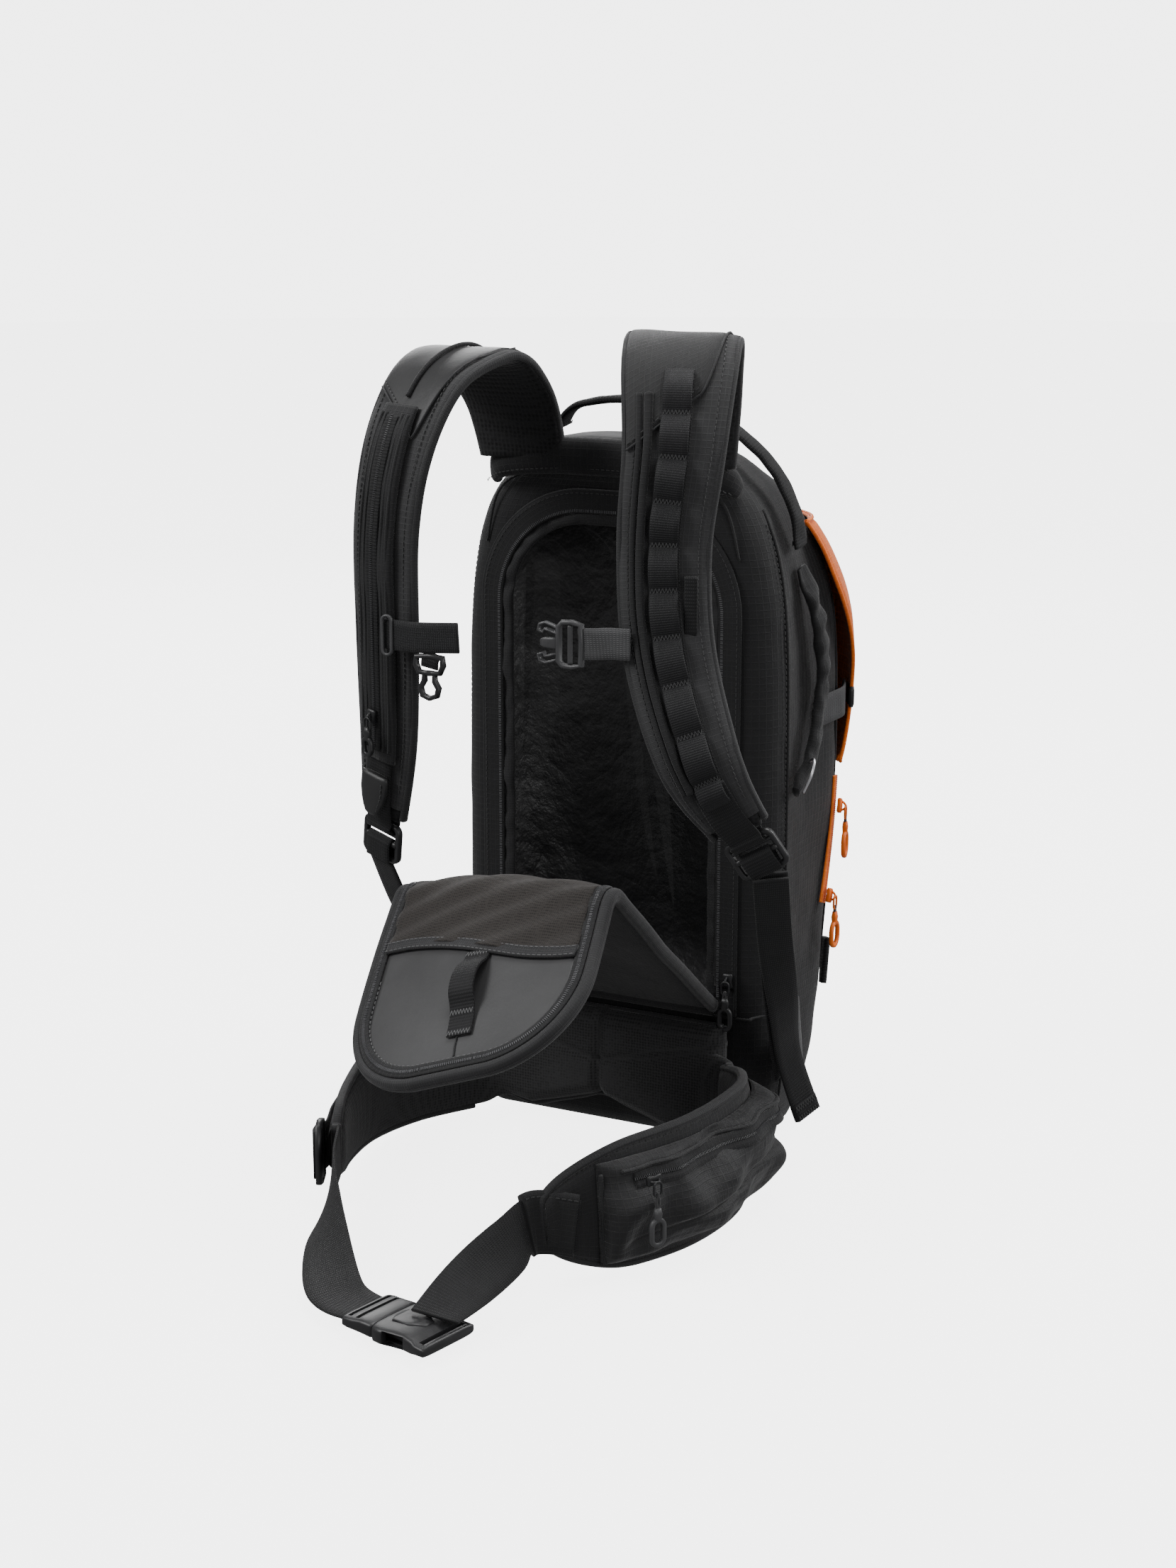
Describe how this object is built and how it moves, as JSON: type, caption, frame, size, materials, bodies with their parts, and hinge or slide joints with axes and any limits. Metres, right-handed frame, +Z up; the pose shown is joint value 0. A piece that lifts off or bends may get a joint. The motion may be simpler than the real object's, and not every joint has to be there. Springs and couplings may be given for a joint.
{
  "type": "avalanche airbag backpack",
  "caption": "Ski backpack with an airbag system, its back panel unzipped and folded forward, with shoulder straps, chest strap, hip belt and haul handle.",
  "frame": {"origin": "middle of the bag's flat base", "axes": "+Z up the bag, -Y towards the wearer's side with the opening, +X towards the side with the orange zip"},
  "size_m": [0.3549, 0.6152, 0.6211],
  "materials": {
    "shell_fabric": "matte",
    "zip_tape": "matte",
    "orange_fabric": "matte",
    "orange_zip": "satin",
    "air_mesh": "matte",
    "strap_fabric": "matte",
    "black_webbing": "matte",
    "pocket_fabric": "matte",
    "grey_fabric": "matte",
    "grey_webbing": "matte",
    "black_plastic": "satin",
    "lining": "satin",
    "stay_metal": "satin",
    "airbag_nylon": "matte",
    "motor_steel": "satin",
    "cable_sleeve": "matte",
    "panel_fabric": "matte",
    "panel_laminate": "satin",
    "pocket_mesh": "matte",
    "grey_plastic": "satin",
    "trigger_plastic": "satin",
    "fan_plastic": "satin",
    "orange_plastic": "satin"
  },
  "bodies": {
    "root": {"main_shell": "shell_fabric", "opening_zip": "zip_tape", "outer_panel": "orange_fabric", "side_zip": "orange_zip", "lumbar_pad": "air_mesh", "shoulder_strap_left": "strap_fabric", "shoulder_strap_right": "strap_fabric", "strap_daisy_chain": "black_webbing", "strap_zip_pocket": "pocket_fabric", "lower_webbing_left": "black_webbing", "lower_webbing_right": "black_webbing", "webbing_tail_right": "black_webbing", "corner_tab_left": "grey_fabric", "corner_tab_right": "grey_fabric", "side_tube": "strap_fabric", "side_band": "grey_webbing", "side_band_hook": "black_plastic", "webbing_keeper": "black_webbing", "hip_wing_left": "strap_fabric", "waist_webbing_left": "black_webbing", "waist_adjuster": "black_plastic", "buckle_male": "black_plastic", "divider": "lining", "stay_left": "stay_metal", "stay_right": "stay_metal", "airbag_folded": "airbag_nylon", "fan_housing": "black_plastic", "fan_motor": "motor_steel", "battery_pack": "black_plastic", "trigger_cable": "cable_sleeve"},
    "panel_lower": {"back_panel_lower": "panel_fabric"},
    "panel_upper": {"back_panel_upper": "panel_laminate", "mesh_pocket": "pocket_mesh", "panel_loop": "black_webbing"},
    "belt_right": {"hip_wing_right": "strap_fabric", "hip_pocket": "pocket_fabric", "waist_webbing_right": "black_webbing", "buckle_female": "black_plastic"},
    "chest_left": {"chest_strap_left": "black_webbing", "chest_hook_left": "grey_plastic"},
    "chest_right": {"chest_strap_right": "grey_webbing", "chest_buckle_right": "grey_plastic"},
    "lock_left": {"ladder_lock_left": "black_plastic"},
    "lock_right": {"ladder_lock_right": "black_plastic"},
    "handle": {"haul_handle": "black_webbing"},
    "trigger": {"trigger_handle": "trigger_plastic"},
    "prong_left": {"buckle_prong_left": "black_plastic"},
    "prong_right": {"buckle_prong_right": "black_plastic"},
    "impeller": {"impeller": "fan_plastic"},
    "main_zip_slider": {"main_zip_slider": "black_plastic"},
    "main_zip_pull": {"main_zip_pull": "black_plastic"},
    "side_zip_low_slider": {"side_zip_low_slider": "orange_plastic"},
    "side_zip_low_pull": {"side_zip_low_pull": "orange_plastic"},
    "side_zip_high_slider": {"side_zip_high_slider": "orange_plastic"},
    "side_zip_high_pull": {"side_zip_high_pull": "orange_plastic"},
    "strap_zip_slider": {"strap_zip_slider": "black_plastic"},
    "strap_zip_pull": {"strap_zip_pull": "black_plastic"},
    "hip_pocket_slider": {"hip_pocket_slider": "black_plastic"},
    "hip_pocket_pull": {"hip_pocket_pull": "black_plastic"}
  },
  "joints": [
    {"name": "panel_swing", "type": "hinge", "parent": "root", "child": "panel_lower", "pos_m": [0, -0.0615, 0.11], "axis": [1, 0, 0], "range_deg": [-50, 8]},
    {"name": "panel_fold", "type": "hinge", "parent": "panel_lower", "child": "panel_upper", "pos_m": [0, -0.21471, 0.23856], "axis": [0.9659, -0.1983, 0.1664], "range_deg": [-75, 8]},
    {"name": "belt_swing", "type": "hinge", "parent": "root", "child": "belt_right", "pos_m": [0.124, -0.076, 0.045], "axis": [0, 0, 1], "range_deg": [0, 40]},
    {"name": "chest_left_swing", "type": "hinge", "parent": "root", "child": "chest_left", "pos_m": [-0.094, -0.21, 0.408], "axis": [0, 0, -1], "range_deg": [0, 100]},
    {"name": "chest_right_swing", "type": "hinge", "parent": "root", "child": "chest_right", "pos_m": [0.094, -0.2152, 0.418], "axis": [0, 0, 1], "range_deg": [0, 100]},
    {"name": "lock_left_tilt", "type": "hinge", "parent": "root", "child": "lock_left", "pos_m": [-0.12714, -0.16841, 0.2584], "axis": [-0.9446, 0.2649, 0.194], "range_deg": [0, 35]},
    {"name": "lock_right_tilt", "type": "hinge", "parent": "root", "child": "lock_right", "pos_m": [0.17504, -0.19361, 0.28857], "axis": [-0.8623, -0.1237, -0.4911], "range_deg": [0, 35]},
    {"name": "handle_lean", "type": "hinge", "parent": "root", "child": "handle", "pos_m": [-0.06, -0.01, 0.538], "axis": [0.9119, 0.0973, -0.3988], "range_deg": [-18, 18], "stiffness_Nm_per_rad": 0.6},
    {"name": "trigger_pull", "type": "slide", "parent": "root", "child": "trigger", "axis": [-0.1675, 0.143, -0.9754], "range_m": [0, 0.016]},
    {"name": "prong_left_squeeze", "type": "slide", "parent": "root", "child": "prong_left", "axis": [0.2164, 0.9763, 0], "range_m": [0, 0.003], "stiffness_N_per_m": 600},
    {"name": "prong_right_squeeze", "type": "slide", "parent": "root", "child": "prong_right", "axis": [-0.2164, -0.9763, 0], "range_m": [0, 0.003], "stiffness_N_per_m": 600},
    {"name": "impeller_spin", "type": "hinge", "parent": "root", "child": "impeller", "pos_m": [0, 0.0915, 0.33], "axis": [0, 1, 0], "continuous": true},
    {"name": "main_zip_travel", "type": "slide", "parent": "root", "child": "main_zip_slider", "axis": [0, 0, 1], "range_m": [0, 0.24]},
    {"name": "main_zip_pull_swing", "type": "hinge", "parent": "main_zip_slider", "child": "main_zip_pull", "pos_m": [0.1025, -0.0608, 0.135], "axis": [-1, 0, 0], "range_deg": [0, 100]},
    {"name": "side_zip_low_travel", "type": "slide", "parent": "root", "child": "side_zip_low_slider", "axis": [-0.01, 0.3511, 0.9363], "range_m": [0, 0.018]},
    {"name": "side_zip_low_pull_swing", "type": "hinge", "parent": "side_zip_low_slider", "child": "side_zip_low_pull", "pos_m": [0.14415, 0.05341, 0.17798], "axis": [0.0335, -0.9994, 0], "range_deg": [0, 100]},
    {"name": "side_zip_high_travel", "type": "slide", "parent": "root", "child": "side_zip_high_slider", "axis": [-0.0548, 0.3506, 0.9349], "range_m": [0, 0.012]},
    {"name": "side_zip_high_pull_swing", "type": "hinge", "parent": "side_zip_high_slider", "child": "side_zip_high_pull", "pos_m": [0.14253, 0.0753, 0.2448], "axis": [0.1964, -0.9805, 0], "range_deg": [0, 100]},
    {"name": "strap_zip_travel", "type": "slide", "parent": "root", "child": "strap_zip_slider", "axis": [0.0924, -0.1358, 0.9864], "range_m": [0, 0.05]},
    {"name": "strap_zip_pull_swing", "type": "hinge", "parent": "strap_zip_slider", "child": "strap_zip_pull", "pos_m": [-0.12029, -0.19996, 0.34266], "axis": [-0.9578, 0.2873, 0], "range_deg": [0, 100]},
    {"name": "hip_pocket_travel", "type": "slide", "parent": "belt_right", "child": "hip_pocket_slider", "axis": [0.4842, 0.8747, 0.0228], "range_m": [0, 0.03]},
    {"name": "hip_pocket_pull_swing", "type": "hinge", "parent": "hip_pocket_slider", "child": "hip_pocket_pull", "pos_m": [0.15999, -0.29654, 0.07334], "axis": [-0.4843, -0.8749, 0], "range_deg": [0, 100]}
  ]
}
